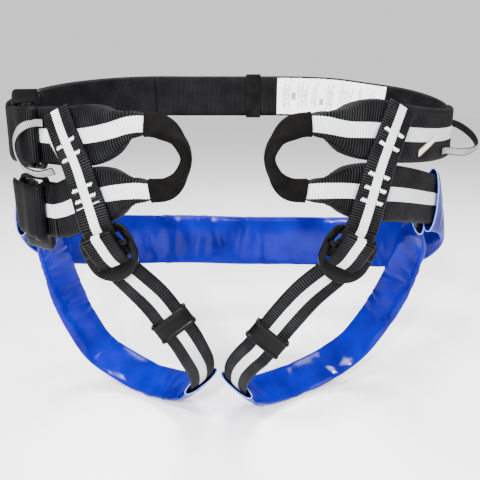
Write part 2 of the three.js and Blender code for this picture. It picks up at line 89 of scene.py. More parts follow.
def spline(controls, per=24):
    """Rows of place, front normal and any extra values along the controls."""
    c = np.array(controls, float)
    u = np.linspace(0, len(c) - 1, (len(c) - 1) * per + 1)
    rest = np.stack([np.interp(u, np.arange(len(c)), c[:, j]) for j in range(3, c.shape[1])], axis=1)
    rest[:, :3] = unit(rest[:, :3])
    return np.hstack([curve_points(c[:, :3], per), rest])


def joined(*runs):
    wide = max(r.shape[1] for r in runs)
    return np.vstack([np.pad(r, ((0, 0), (0, wide - r.shape[1]))) for r in runs])


def frames(run):
    """Unit tangent, front normal and width direction of each row."""
    t = unit(np.gradient(run[:, :3], axis=0))
    w = unit(np.cross(run[:, 3:6], t))
    return t, unit(np.cross(t, w)), w


def shifted(run, offset):
    _, n, _ = frames(run)
    out = run.copy()
    out[:, :3] += n * np.asarray(offset, float).reshape(-1, 1)
    return out


def flipped(run):
    out = run[::-1].copy()
    out[:, 3:6] *= -1
    return out


def even(run, step):
    """The same run at even steps, with its arc length as the last column."""
    gap = np.linalg.norm(np.diff(run[:, :3], axis=0), axis=1)
    keep = np.concatenate([[True], gap > 1e-6])
    run = run[keep]
    s = np.concatenate([[0], np.cumsum(np.linalg.norm(np.diff(run[:, :3], axis=0), axis=1))])
    at = np.linspace(0, s[-1], max(int(round(s[-1] / step)), 2) + 1)
    out = np.stack([np.interp(at, s, run[:, j]) for j in range(run.shape[1])], axis=1)
    out[:, 3:6] = unit(out[:, 3:6])
    return np.hstack([out, at[:, None]])


def smooth(values, rounds):
    """Softens a run's places and normals without moving its two ends."""
    out = values.copy()
    for _ in range(rounds):
        out[1:-1, :6] = 0.5 * out[1:-1, :6] + 0.25 * (out[:-2, :6] + out[2:, :6])
    out[:, 3:6] = unit(out[:, 3:6])
    return out


class Local:
    """A flat part's own axes: u along the strap, n out of the front face, w across."""

    def __init__(self, centre, along, front):
        self.c = np.array(centre, float)
        self.n = unit(front)
        along = np.array(along, float)
        self.u = unit(along - self.n * (along @ self.n))
        self.w = unit(np.cross(self.n, self.u))

    def at(self, u, n, w=0.0):
        return self.c + self.u * u + self.n * n + self.w * w

    def way(self, u, n):
        return unit(self.u * u + self.n * n)

    def point(self, u, n, nu, nn, w=0.0, nw=0.0):
        return [*self.at(u, n, w), *unit(self.u * nu + self.n * nn + self.w * nw)]

    def half_turn(self, u, n, radius, out, steps=16):
        """Round a bar from the side facing n to the side facing -n."""
        rows = []
        for angle in np.linspace(math.pi / 2, -math.pi / 2, steps + 1):
            c, s = out * math.cos(angle), math.sin(angle)
            rows.append([*self.at(u + radius * c, n + radius * s), *self.way(c, s)])
        return np.array(rows)


def turn_radius(bar, web):
    return bar / 2 * math.sqrt(2) + 0.4 + web / 2


# ---------------------------------------------------------------- meshes
def new_object(name, mesh):
    obj = bpy.data.objects.new(name, mesh)
    bpy.context.scene.collection.objects.link(obj)
    return obj


def closed_mesh(name, rings, across, along, wrap=False):
    """A closed surface from rings (rows, around, xyz) in millimetres, with a UV map in units of 100 mm.

    The rings end in two caps, or the last one joins the first where wrap is set.
    """
    rows, around = rings.shape[:2]
    last = rows if wrap else rows - 1
    i, j = (a.ravel() for a in np.meshgrid(np.arange(last), np.arange(around), indexing="ij"))
    i2, j2 = (i + 1) % rows, (j + 1) % around
    quads = np.stack([i * around + j, i * around + j2, i2 * around + j2, i2 * around + j], axis=1)
    flat = np.stack([np.broadcast_to(across, (rows, around)).ravel(),
                     np.broadcast_to(np.asarray(along, float)[:, None], (rows, around)).ravel()],
                    axis=1) * 0.01
    uv = flat[quads.ravel()]
    faces = quads.tolist()
    if not wrap:
        for cap in (list(range(around))[::-1], list(range((rows - 1) * around, rows * around))):
            faces.append(cap)
            uv = np.vstack([uv, flat[cap]])
    mesh = bpy.data.meshes.new(name)
    mesh.from_pydata((rings.reshape(-1, 3) * MM).tolist(), [], faces)
    mesh.uv_layers.new(name="strip").data.foreach_set("uv", uv.ravel())
    mesh.polygons.foreach_set("use_smooth", [True] * len(quads) + [False] * (len(faces) - len(quads)))
    mesh.update()
    return mesh


def outline(width, thick, columns):
    """Points round a flat strip with rounded selvedges, front face first: x, y and side (+1 front)."""
    half = columns // 2
    x = np.linspace(-1, 1, half + 1) * 0.65 - np.cos(np.linspace(0, math.pi, half + 1)) * 0.35
    y = np.sqrt(np.maximum(1 - np.abs(x) ** 14, 0))
    points = np.vstack([np.stack([x, y], 1), np.stack([x[::-1], -y[::-1]], 1)[1:-1]])
    return points[:, 0] * width / 2, points[:, 1] * thick / 2, np.sign(points[:, 1])


def fold_over(x, y, fold):
    """Bends both edges of a strip back behind it, by half a turn where fold is 1."""
    half = (22.5 + (FOLD_HALF - 22.5) * np.sqrt(fold))[:, None]
    turn = (fold * math.pi)[:, None]
    past = np.maximum(np.abs(x) - half, 0)
    radius = FOLD_RADIUS / np.maximum(fold, 0.05)[:, None]
    angle = np.minimum(past / radius, turn)
    rest = np.minimum(past - angle * radius, half - 0.4)
    out_x = np.minimum(np.abs(x), half) + np.sin(angle) * (radius + y) + np.cos(angle) * rest
    out_y = -radius + np.cos(angle) * (radius + y) - np.sin(angle) * rest
    lift = (FOLD_RADIUS * fold)[:, None]
    return np.sign(x) * np.where(past > 0, out_x, np.abs(x)), np.where(past > 0, out_y, y) + lift


def webbing(name, run, kind, stripe=0.0, rib_height=0.34):
    """A woven strip along a run, with cross ribs, rounded selvedges and a flatter woven stripe.

    A run's seventh column is its fold, from 0, flat, to 1, folded in half.
    """
    run = even(run, kind["pitch"] / 4)
    s = run[:, -1]
    _, n, w = frames(run)
    x, y, side = outline(kind["width"], kind["thick"], kind["columns"])
    rib = (np.abs(np.sin(math.pi * s / kind["pitch"])) - 0.5)[:, None]
    inside = np.clip((kind["width"] / 2 - np.abs(x)) / 1.0, 0, 1)[None]
    weave = np.where(np.abs(x) < stripe / 2, 0.5, 1.0)[None]
    xs = x[None] + np.sign(x)[None] * rib * 0.22 * (1 - inside)
    ys = y[None] + rib * rib_height * weave * side[None] * inside
    if run.shape[1] > 7:
        xs, ys = fold_over(xs, ys, run[:, 6])
    rings = run[:, None, :3] + xs[..., None] * w[:, None] + ys[..., None] * n[:, None]
    return new_object(name, closed_mesh(name, rings, x[None], s))


def flat_tube(name, run, width, thick, wall, step, around=72, power=3.2, shape=None, rib=0.0, pitch=1.2):
    """An open flattened sleeve with a wall; shape(s, angle, x, y) may move its outer surface."""
    run = even(run, step)
    s = run[:, -1:]
    _, n, w = frames(run)
    angle = np.linspace(0, 2 * math.pi, around, endpoint=False)
    c, d = np.cos(angle), np.sin(angle)
    x = np.sign(c) * np.abs(c) ** (2 / power)
    y = np.sign(d) * np.abs(d) ** (2 / power)
    outer = np.stack(np.broadcast_arrays(x * width / 2, y * thick / 2, s)[:2], -1)
    inner = np.stack(np.broadcast_arrays(x * (width / 2 - wall), y * (thick / 2 - wall), s)[:2], -1)
    move = np.zeros_like(outer) if shape is None else shape(s, angle[None], outer[..., 0], outer[..., 1])
    outer = outer + move
    outer[..., 1] += rib * (np.abs(np.sin(math.pi * s / pitch)) - 0.5) * np.sign(d)
    inner = inner + move
    rows = np.concatenate([outer, inner[::-1]])
    place = np.concatenate([run, run[::-1]])
    n2, w2 = np.concatenate([n, n[::-1]]), np.concatenate([w, w[::-1]])
    rings = place[:, None, :3] + rows[..., :1] * w2[:, None] + rows[..., 1:] * n2[:, None]
    girth = (angle / (2 * math.pi) * 2 * (width + thick))[None]
    obj = new_object(name, closed_mesh(name, rings[:, ::-1], girth[:, ::-1], place[:, -1], wrap=True))
    obj["around"] = around
    return obj


def threads(name, paths, radius, sides=6):
    """Sewing threads: one tube with closed ends along each path of points, in millimetres."""
    verts, faces = [], []
    turn = np.linspace(0, 2 * math.pi, sides, endpoint=False)
    for path in paths:
        p = np.asarray(path, float)
        t = unit(np.gradient(p, axis=0))
        side = unit(np.cross(t, np.array([0.31, 0.17, 0.93])))
        up = np.cross(t, side)
        thin = np.full(len(p), radius)
        thin[[0, -1]] *= 0.5
        c, d = np.cos(turn)[None, :, None], np.sin(turn)[None, :, None]
        rings = p[:, None] + (c * side[:, None] + d * up[:, None]) * thin[:, None, None]
        base = len(verts)
        verts += (rings.reshape(-1, 3) * MM).tolist()
        for i in range(len(p) - 1):
            for j in range(sides):
                k = (j + 1) % sides
                low, high = base + i * sides, base + (i + 1) * sides
                faces.append([low + j, low + k, high + k, high + j])
        faces.append([base + j for j in range(sides)][::-1])
        faces.append([base + (len(p) - 1) * sides + j for j in range(sides)])
    mesh = bpy.data.meshes.new(name)
    mesh.from_pydata(verts, [], faces)
    mesh.polygons.foreach_set("use_smooth", [True] * len(faces))
    mesh.update()
    return new_object(name, mesh)


# ---------------------------------------------------------------- finishes
class Finish:
    """A procedural material: node helpers round one Principled shader."""

    def __init__(self, name, **fixed):
        self.material = bpy.data.materials.new(name)
        self.material.use_nodes = True
        self.nodes = self.material.node_tree.nodes
        self.links = self.material.node_tree.links
        self.shader = self.nodes["Principled BSDF"]
        self.coords = self.nodes.new("ShaderNodeTexCoord").outputs["Object"]
        for socket, value in fixed.items():
            self.shader.inputs[socket.replace("_", " ")].default_value = value

    def put(self, socket, value):
        if isinstance(value, bpy.types.NodeSocket):
            self.links.new(value, socket)
        elif hasattr(socket.default_value, "__len__") and not hasattr(value, "__len__"):
            socket.default_value = [value] * len(socket.default_value)
        else:
            rgb = hasattr(value, "__len__") and len(value) == 3 and len(socket.default_value) == 4
            socket.default_value = (*value, 1) if rgb else value

    def math(self, operation, *values, clamp=False):
        node = self.nodes.new("ShaderNodeMath")
        node.operation, node.use_clamp = operation, clamp
        for socket, value in zip(node.inputs, values):
            self.put(socket, value)
        return node.outputs[0]

    def noise(self, scale, detail=3.0, stretch=None):
        node = self.nodes.new("ShaderNodeTexNoise")
        node.inputs["Scale"].default_value = scale
        node.inputs["Detail"].default_value = detail
        source = self.coords
        if stretch:
            mapping = self.nodes.new("ShaderNodeMapping")
            mapping.inputs["Scale"].default_value = stretch
            self.links.new(source, mapping.inputs["Vector"])
            source = mapping.outputs[0]
        self.links.new(source, node.inputs["Vector"])
        return node.outputs[0]

    def mix(self, factor, a, b):
        node = self.nodes.new("ShaderNodeMix")
        node.data_type = "RGBA"
        for socket, value in ((node.inputs[0], factor), (node.inputs[6], a), (node.inputs[7], b)):
            self.put(socket, value)
        return node.outputs[2]

    def strip(self):
        """Millimetres across and along the strip."""
        uv = self.nodes.new("ShaderNodeUVMap")
        uv.uv_map = "strip"
        split = self.nodes.new("ShaderNodeSeparateXYZ")
        self.links.new(uv.outputs[0], split.inputs[0])
        return self.math("MULTIPLY", split.outputs[0], 100.0), self.math("MULTIPLY", split.outputs[1], 100.0)

    def wave(self, value, pitch):
        """A rounded ridge from 0 to 1 at each pitch."""
        return self.math("ABSOLUTE", self.math("SINE", self.math("MULTIPLY", value, math.pi / pitch)))

    def ramp(self, value, low, high):
        node = self.nodes.new("ShaderNodeMapRange")
        for socket, v in zip(node.inputs, (value, low, high, 0.0, 1.0)):
            self.put(socket, v)
        return node.outputs[0]

    def bump(self, height, distance, strength=1.0):
        node = self.nodes.new("ShaderNodeBump")
        node.inputs["Strength"].default_value = strength
        node.inputs["Distance"].default_value = distance
        self.links.new(height, node.inputs["Height"])
        self.links.new(node.outputs[0], self.shader.inputs["Normal"])

    def colour(self, value):
        self.put(self.shader.inputs["Base Color"], value)

    def rough(self, value):
        self.put(self.shader.inputs["Roughness"], value)


def woven(name, pitch, base, crest_highlight, stripe=0.0, stripe_light=(0.62, 0.63, 0.65)):
    """Ribbed webbing with fine warp yarns, its rib crests coloured lighter as a painted highlight and, where
    stripe is set, a woven stripe that wide, painted darker in its rib valleys as shade.
    """
    f = Finish(name, Specular_IOR_Level=0.045)
    x, s = f.strip()
    rib = f.wave(s, pitch)
    yarn = f.wave(x, 0.42)
    wear = f.noise(55, 4)
    fuzz = f.noise(1400, 2)
    # Painted highlight: the rib crests are coloured lighter, fading out in random patches.
    light = f.math("MULTIPLY", f.math("POWER", rib, 7.0), f.math("ADD", 0.55, f.math("MULTIPLY", yarn, 0.45)))
    light = f.math("MULTIPLY", light, f.ramp(wear, 0.2, 0.8))
    colour = f.mix(light, base, crest_highlight)
    height = f.math("ADD", f.math("MULTIPLY", yarn, 0.35), f.math("MULTIPLY", fuzz, 0.35))
    if stripe:
        reach = f.math("ADD", stripe / 2, f.math("MULTIPLY", rib, 0.34))
        edge = f.math("SUBTRACT", reach, f.math("ABSOLUTE", x))
        mask = f.ramp(edge, -0.06, 0.1)
        twill = f.wave(f.math("ADD", f.math("ABSOLUTE", x), f.math("MULTIPLY", s, 1.3)), 0.62)
        # The stripe is painted darker in its rib valleys as shade, and darker along its twill lines as the woven
        # pattern.
        shade = f.math("ADD", 0.45, f.math("MULTIPLY", f.math("POWER", rib, 0.6), 0.55))
        shade = f.math("MULTIPLY", shade, f.math("ADD", 0.55, f.math("MULTIPLY", twill, 0.45)))
        dirt = f.ramp(f.noise(38, 5), 0.35, 0.75)
        white = f.mix(f.math("MULTIPLY", dirt, 0.22), stripe_light, (0.55, 0.52, 0.44))
        white = f.mix(shade, (0.10, 0.10, 0.11), white)
        colour = f.mix(mask, colour, white)
        height = f.math("ADD", height, f.math("MULTIPLY", mask, f.math("MULTIPLY", twill, 0.8)))
    f.colour(colour)
    f.rough(f.math("ADD", 0.42, f.math("MULTIPLY", fuzz, 0.35)))
    f.bump(height, 0.00012)
    return f.material


def coated(name):
    """Glossy coated fabric: a fine woven grid under a smooth coat, with painted shade in random darker patches
    and in the valleys between the grid lines.
    """
    f = Finish(name, Specular_IOR_Level=0.0, Coat_Weight=0.45, Coat_Roughness=0.05, Coat_IOR=1.3)
    girth, s = f.strip()
    grid = f.math("MAXIMUM", f.wave(girth, 1.15), f.wave(s, 1.15))
    cloud = f.noise(30, 5)
    crease = f.noise(120, 4, (1.0, 1.0, 0.35))
    # Painted shade: random patches of the blue are coloured darker, towards navy.
    painted_shade_patches = f.ramp(cloud, 0.25, 0.75)
    blue = f.mix(painted_shade_patches, (0.0, 0.0, 0.08), (0.0, 0.0006, 0.25))
    # Painted shade: the valleys between the grid lines are coloured darker.
    blue = f.mix(f.math("MULTIPLY", f.math("SUBTRACT", 1.0, grid), 0.5), blue, (0.0, 0.0, 0.05))
    f.colour(blue)
    f.rough(f.math("ADD", 0.26, f.math("MULTIPLY", cloud, 0.2)))
    f.bump(f.math("ADD", f.math("MULTIPLY", grid, 0.12), f.math("MULTIPLY", crease, 0.3)), 0.0005, 0.6)
    f.links.new(f.shader.inputs["Normal"].links[0].from_socket, f.shader.inputs["Coat Normal"])
    return f.material


def fabric(name, pitch, base, crest_highlight, rough=0.8):
    """Plain ribbed or knitted fabric, such as a loop cover or elastic, its rib crests coloured lighter as a
    painted highlight.
    """
    f = Finish(name, Specular_IOR_Level=0.04)
    x, s = f.strip()
    rib, yarn = f.wave(s, pitch), f.wave(x, 0.6)
    fuzz, cloud = f.noise(1500, 2), f.noise(90, 4)
    # Painted highlight: the rib crests are coloured lighter, fading out in random patches.
    weave = f.math("MULTIPLY", rib, f.math("ADD", 0.6, f.math("MULTIPLY", yarn, 0.4)))
    light = f.math("MULTIPLY", weave, f.ramp(cloud, 0.2, 0.7))
    f.colour(f.mix(light, base, crest_highlight))
    f.rough(f.math("ADD", rough - 0.15, f.math("MULTIPLY", fuzz, 0.3)))
    f.bump(f.math("ADD", f.math("MULTIPLY", yarn, 0.4), f.math("MULTIPLY", fuzz, 0.4)), 0.00015)
    return f.material


def hard(name, base, worn, metallic, rough, grain=0.00012):
    """Coated metal or moulded plastic, rubbed pale along its edges."""
    f = Finish(name, Metallic=metallic, Specular_IOR_Level=0.08)
    edge = f.nodes.new("ShaderNodeBevel")
    edge.inputs["Radius"].default_value = 0.0009
    flat = f.nodes.new("ShaderNodeNewGeometry")
    dot = f.nodes.new("ShaderNodeVectorMath")
    dot.operation = "DOT_PRODUCT"
    f.links.new(edge.outputs[0], dot.inputs[0])
    f.links.new(flat.outputs["Normal"], dot.inputs[1])
    scratch = f.noise(420, 4, (1.0, 1.0, 0.2))
    streak = f.math("MULTIPLY", f.math("SUBTRACT", scratch, 0.5), 0.10)
    rub = f.math("ADD", f.math("SUBTRACT", 1.0, dot.outputs["Value"]), streak)
    wear = f.math("MULTIPLY", f.ramp(rub, 0.07, 0.2), f.ramp(f.noise(90, 3), 0.42, 0.62))
    patch = f.noise(70, 5)
    body = f.mix(f.ramp(patch, 0.3, 0.8), base, [1.6 * c for c in base])
    f.colour(f.mix(wear, body, worn))
    f.rough(f.math("ADD", rough, f.math("MULTIPLY", f.math("SUBTRACT", patch, 0.5), 0.25)))
    f.bump(f.noise(900, 3), grain, 0.6)
    return f.material


def cotton(name, base):
    f = Finish(name, Sheen_Weight=0.3, Specular_IOR_Level=0.2)
    f.colour(f.mix(f.noise(2200, 2), [0.6 * c for c in base], base))
    f.rough(f.math("ADD", 0.6, f.math("MULTIPLY", f.noise(1700, 2), 0.3)))
    f.bump(f.noise(3000, 2), 0.00008)
    return f.material


# DARK is the webbing's own colour; the second colour of each ribbed finish below is a painted highlight on its
# rib crests.
DARK, CREST_HIGHLIGHT = (0.0001, 0.0001, 0.0002), (0.030, 0.030, 0.033)
FINISH = {
    "band": woven("band_webbing", BAND["pitch"], DARK, CREST_HIGHLIGHT, 10.8),
    "belt": woven("belt_webbing", BELT["pitch"], DARK, (0.022, 0.022, 0.025)),
    "strap": woven("strap_webbing", STRAP["pitch"], DARK, CREST_HIGHLIGHT, 7.2),
    "gear": woven("gear_tape", GEAR["pitch"], (0.10, 0.10, 0.10), (0.55, 0.55, 0.52)),
    "gear_lining": woven("gear_lining", GEAR["pitch"], DARK, CREST_HIGHLIGHT),
    "sleeve": coated("coated_sleeve"),
    "cover": fabric("loop_cover", 1.2, (0.0001, 0.0001, 0.0001), (0.0050, 0.0044, 0.0040)),
    "elastic": fabric("elastic", 1.3, (0.0006, 0.0006, 0.0006), (0.010, 0.0095, 0.0095)),
    # The hem threads are a paler blue than the sleeve: partly the hem's own colour, partly a painted highlight
    # along each sleeve mouth's rim.
    "hem": cotton("sleeve_hem", (0.10, 0.20, 0.62)),
    "metal": hard("buckle_metal", (0.0010, 0.0009, 0.0009), (0.10, 0.09, 0.085), 0.05, 0.3),
    "plastic": hard("strap_keeper", (0.0007, 0.0006, 0.0006), (0.008, 0.007, 0.006), 0.0, 0.3),
    "white_thread": cotton("white_thread", (0.80, 0.80, 0.78)),
    "cream_thread": cotton("cream_thread", (0.66, 0.60, 0.42)),
    "dark_thread": cotton("dark_thread", (0.012, 0.012, 0.014)),
}

# ------------------------------------------------------- routes, in millimetres: place, front normal, fold
BACK_BELT = [
    [-189, 88, 12, -0.8, -0.6, 0], [-195, 104, 14, -0.96, -0.28, 0], [-196, 126, 18, -1, 0.05, 0],
    [-190, 155, 24, -0.97, 0.25, 0.03], [-178, 190, 30, -0.92, 0.4, 0.05],
    [-160, 228, 35, -0.82, 0.57, 0.05],
    [-130, 260, 39, -0.5, 0.87, 0.03], [-90, 276, 41, -0.22, 0.97, 0], [-50, 280, 41, 0, 1, 0],
    [-15, 280, 41, 0, 1, 0], [20, 280, 41, 0, 1, 0], [55, 280, 41, 0, 1, 0], [84, 279, 40.5, 0.1, 0.99, 0],
    [114, 275, 39, 0.26, 0.97, 0], [150, 263, 34, 0.42, 0.9, 0.03], [188, 237, 27, 0.72, 0.69, 0.05],
    [208, 205, 19, 0.93, 0.36, 0.05], [213, 172, 12, 1, 0.05, 0.03], [210, 150, 9, 0.95, -0.3, 0],
    [200, 128, 8, 0.9, -0.45, 0],
]
SEAT_ROUTE = [
    [-189, 88, -50, -0.8, -0.6, 0], [-196, 106, -53, -0.96, -0.28, 0], [-198, 126, -64, -1, 0.05, -0.05],
    [-195, 150, -84, -0.97, 0.25, -0.1], [-182, 182, -104, -0.85, 0.5, -0.1],
    [-152, 212, -116, -0.5, 0.86, -0.05],
    [-112, 226, -120, -0.22, 0.97, 0], [-50, 235, -122, -0.08, 1, 0], [10, 236, -124, 0, 1, 0],
    [70, 235, -124, 0.08, 1, 0], [125, 228, -123, 0.25, 0.97, 0], [165, 212, -119, 0.6, 0.8, -0.05],
    [192, 188, -108, 0.85, 0.5, -0.05], [205, 165, -90, 0.98, 0.2, 0], [206, 148, -74, 1, 0, 0.1],
    [201, 132, -62, 0.96, -0.25, 0.15],
]
RIGHT_UPPER = [
    [213, 172, 11, 1, 0.05, 0.03, 0], [210, 150, 9, 0.95, -0.3, 0, 0], [200, 128, 8, 0.87, -0.5, 0, 0],
    [172, 87, 9, 0.8, -0.6, 0, 0], [134, 45, 13, 0.68, -0.74, 0, 0], [109, 25, 17, 0.54, -0.84, 0, 0.05],
    [85, 12.5, 18.5, 0.4, -0.92, 0, 0.4], [67, 4, 22, 0.3, -0.95, 0, 0.85],
]
RIGHT_LOWER = [
    [67, 4, -24.5, 0.3, -0.95, 0, 0.85], [86, 13, -26, 0.42, -0.91, 0, 0.4],
    [110, 25.5, -30, 0.54, -0.84, 0, 0.05],
    [136, 46, -35, 0.68, -0.74, 0, 0], [170, 85, -45, 0.82, -0.57, 0, 0],
    [194, 118, -54, 0.88, -0.45, 0.1, 0],
    [203, 138, -65, 0.96, -0.2, 0.15, 0], [205, 152, -76, 1, 0, 0.15, 0],
]
LEFT_UPPER = [
    [-142.8, 51.5, 11, -0.57, -0.82, 0, 0], [-133, 44.7, 11, -0.6, -0.8, 0, 0],
    [-122, 36, 11.5, -0.6, -0.8, 0, 0],
    [-106, 24.5, 13, -0.5, -0.86, 0, 0.05], [-86, 12.5, 17, -0.4, -0.92, 0, 0.4],
    [-68, 4, 22, -0.3, -0.95, 0, 0.85],
]
LEFT_LOWER = [
    [-66, 4, -24.5, -0.3, -0.95, 0, 0.85], [-84, 12.5, -27.5, -0.4, -0.92, 0, 0.4],
    [-104, 24.5, -33.5, -0.5, -0.86, 0, 0.05], [-122, 36, -42, -0.6, -0.8, 0, 0],
    [-133, 44.7, -47, -0.6, -0.8, 0, 0], [-142.8, 51.5, -50, -0.57, -0.82, 0, 0],
]


def loop_core(side, top=22.5, low=-24):
    return [
        [side * 57, 0, top, side * 0.2, -0.98, 0.1, 1],
        [side * 45, -3, top - 2, side * -0.1, -0.93, 0.35, 1],
        [side * 34, -5, 12, side * -0.85, -0.2, 0.5, 1], [side * 29, -5, 0, -side, 0.06, 0, 1],
        [side * 33, -5, -12, side * -0.85, -0.2, -0.45, 1],
        [side * 43, -3, low + 2, side * -0.1, -0.93, -0.35, 1],
        [side * 55, 0, low, side * 0.2, -0.98, -0.1, 1],
    ]


def hip(z):
    return Local((-149, 60, z), (-0.82, 0.57, 0), (-0.57, -0.82, 0))


HIPS = {"upper": hip(11), "lower": hip(-50)}
BAND_TURN, BELT_TURN = turn_radius(3.5, 2.4), turn_radius(3.2, 2.4)
UNDER_BAR = BAND_TURN + LAYER_STEP + 0.1
BAR_N = UNDER_BAR + BELT_TURN
OUTER = BAR_N + BELT_TURN


def doubled_back(hip_frame):
    """Belt or seat webbing from under the slide bar, round it and out over the plate."""
    over = spline([
        hip_frame.point(38, 5.6, 0.12, 1), hip_frame.point(24, 9.2, 0.2, 1),
        hip_frame.point(12, OUTER - 0.8, 0.12, 1), hip_frame.point(1, OUTER, 0, 1),
    ], 10)
    under = spline([
        hip_frame.point(1, UNDER_BAR, 0, -1), hip_frame.point(9, UNDER_BAR, 0, -1),
        hip_frame.point(15, 2.6, -0.6, -1),
        hip_frame.point(21, -2.4, -0.6, -1), hip_frame.point(28, -BAND_TURN - 0.6, 0, -1),
        hip_frame.point(40, -BAND_TURN - 0.6, 0, -1),
    ], 10)
    return np.vstack([over, hip_frame.half_turn(1, BAR_N, BELT_TURN, -1), under])[::-1]


def round_front_bar(hip_frame):
    edge = 6 - 3.5 / 2
    return np.vstack([
        spline([hip_frame.point(0, BAND_TURN, 0, 1), hip_frame.point(edge, BAND_TURN, 0, 1)], 4),
        hip_frame.half_turn(edge, 0, BAND_TURN, 1),
        spline([
            hip_frame.point(edge, -BAND_TURN, 0, -1), hip_frame.point(-6, -BAND_TURN + 0.2, 0, -1),
            hip_frame.point(-22, -0.4, 0.12, -1),
        ], 8),
    ])


def dress(obj, finish, body="harness", node=()):
    """Gives a piece its finish as its one material and its body, and hides the CAD nodes it stands for."""
    obj.data.materials.clear()
    obj.data.materials.append(FINISH[finish])
    if body:
        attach(obj, body)
    nodes = [node] if isinstance(node, str) else list(node)
    if nodes:
        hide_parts(*nodes)
    return obj


# ---------------------------------------------------------------- waist belt and seat webbing
PER = 24
belt_run = spline(BACK_BELT, PER)
sewn = shifted(belt_run, np.where(np.arange(len(belt_run)) >= 17 * PER, -SEWN_OFFSET, 0.0))
sewn[16 * PER : 18 * PER] = smooth(sewn[16 * PER : 18 * PER], 60)
belt_tail = flipped(shifted(belt_run[PER : 7 * PER], -LAYER_STEP - 0.3))
belt = smooth(np.vstack([belt_tail, doubled_back(HIPS["upper"]), sewn]), 2)
dress(webbing("belt_webbing", belt, BELT, rib_height=0.14), "belt", node="waist_belt")

seat_run = spline(SEAT_ROUTE, PER)
seat_tail = flipped(shifted(seat_run[PER : 3 * PER], -LAYER_STEP - 0.3))
seat = smooth(np.vstack([seat_tail, doubled_back(HIPS["lower"]), seat_run[: 13 * PER + 1]]), 2)
piece = webbing("seat_strap_webbing", seat, BELT, rib_height=0.14)
dress(piece, "belt", node="seat_webbing")

# ---------------------------------------------------------------- front bands, folded into the tie-in loops
right_run = spline([*RIGHT_UPPER, *loop_core(1), *RIGHT_LOWER], PER)
left_run = spline([*LEFT_UPPER, *loop_core(-1), *LEFT_LOWER], PER)
on_belt = np.interp(np.arange(len(right_run)), [0, PER, 2.6 * PER], [SEWN_OFFSET, SEWN_OFFSET, 0])
right_band = shifted(right_run, on_belt)
left_band = joined(round_front_bar(HIPS["upper"])[::-1], left_run, round_front_bar(HIPS["lower"]))
for side, band in (("right", right_band), ("left", left_band)):
    piece = webbing(f"{side}_front_band", band, BAND, stripe=10.8)
    dress(piece, "band", node=f"{side}_front_webbing")


def cover_shape(s, angle, x, y):
    """Slightly flared ends and a soft, uneven body."""
    end = np.minimum(s, s[-1] - s)
    flare = 1 + 0.05 * np.exp(-end / 1.6) - 0.015 * np.sin(s * 0.31 + 1.0)
    return np.stack([x * (flare - 1), y * (flare - 1) * 1.6], -1)


for side, run, controls in (("right", right_run, RIGHT_UPPER), ("left", left_run, LEFT_UPPER)):
    start = len(controls) * PER
    core = run[start : start + 6 * PER + 1]
    piece = flat_tube(f"{side}_tie_in_cover", core[:, :6], 17.0, 8.2, 0.7, 0.3, shape=cover_shape, rib=0.3)
    dress(piece, "cover", node=f"{side}_loop_cover")

# ---------------------------------------------------------------- sleeves
def wrinkles(seed, width, thick, creases, pinches=(), mouth=1.0):
    """Sharp folds across a sleeve, a soft swell along it and relaxed mouths."""
    r = np.random.default_rng(seed)
    folds = [
        (r.uniform(0.02, 0.98), r.uniform(2.5, 6), r.uniform(0.25, 1.0), r.uniform(-0.5, 0.5), r.choice([-1, 1]))
        for _ in range(creases)
    ]

    def shape(s, angle, x, y):
        total = s[-1]
        dy, dx = np.zeros_like(y), np.zeros_like(x)
        for where, size, deep, lean, side in folds:
            d = s - where * total - lean * x
            valley = np.exp(-((d / size) ** 2)) - 0.75 * np.exp(-(((d - 1.5 * size) / size) ** 2))
            weight = np.clip(0.5 + side * x / width, 0, 1) ** 0.8
            dy -= deep * valley * weight * np.sign(y) * thick * 0.10
            dx -= 0.25 * deep * valley * weight * np.sign(x)
        for where, size, deep in pinches:
            near = np.exp(-(((s - where * total) / size) ** 2))
            dx -= x * deep * near
            dy += y * deep * 1.2 * near
        swell = np.sin(s * 0.11 + seed) * 0.5 + np.sin(s * 0.23 + 2 * seed) * 0.3
        dy += swell * (1 - (2 * x / width) ** 2) * np.sign(y) * thick * 0.07
        end = np.minimum(s, total - s)
        dy += mouth * np.exp(-end / 12) * (1 - (2 * x / width) ** 2) * np.sign(y)
        return np.stack([dx, dy], -1)

    return shape


SEAT_MOUTH = [[194.5, 118.5, -55, 0.9, -0.42, 0.12], [184, 104, -50.5, 0.86, -0.5, 0.04]]
seat_cover = shifted(spline(SEAT_ROUTE + SEAT_MOUTH, PER)[int(5 / 3 * PER) :], -1.6)
creases = wrinkles(3, 58, 10, 26, mouth=2.2)
piece = flat_tube("seat_cover", seat_cover, 58, 10, 1.0, 1.5, around=96, power=2.6, shape=creases)
dress(piece, "sleeve", node="seat_sleeve")

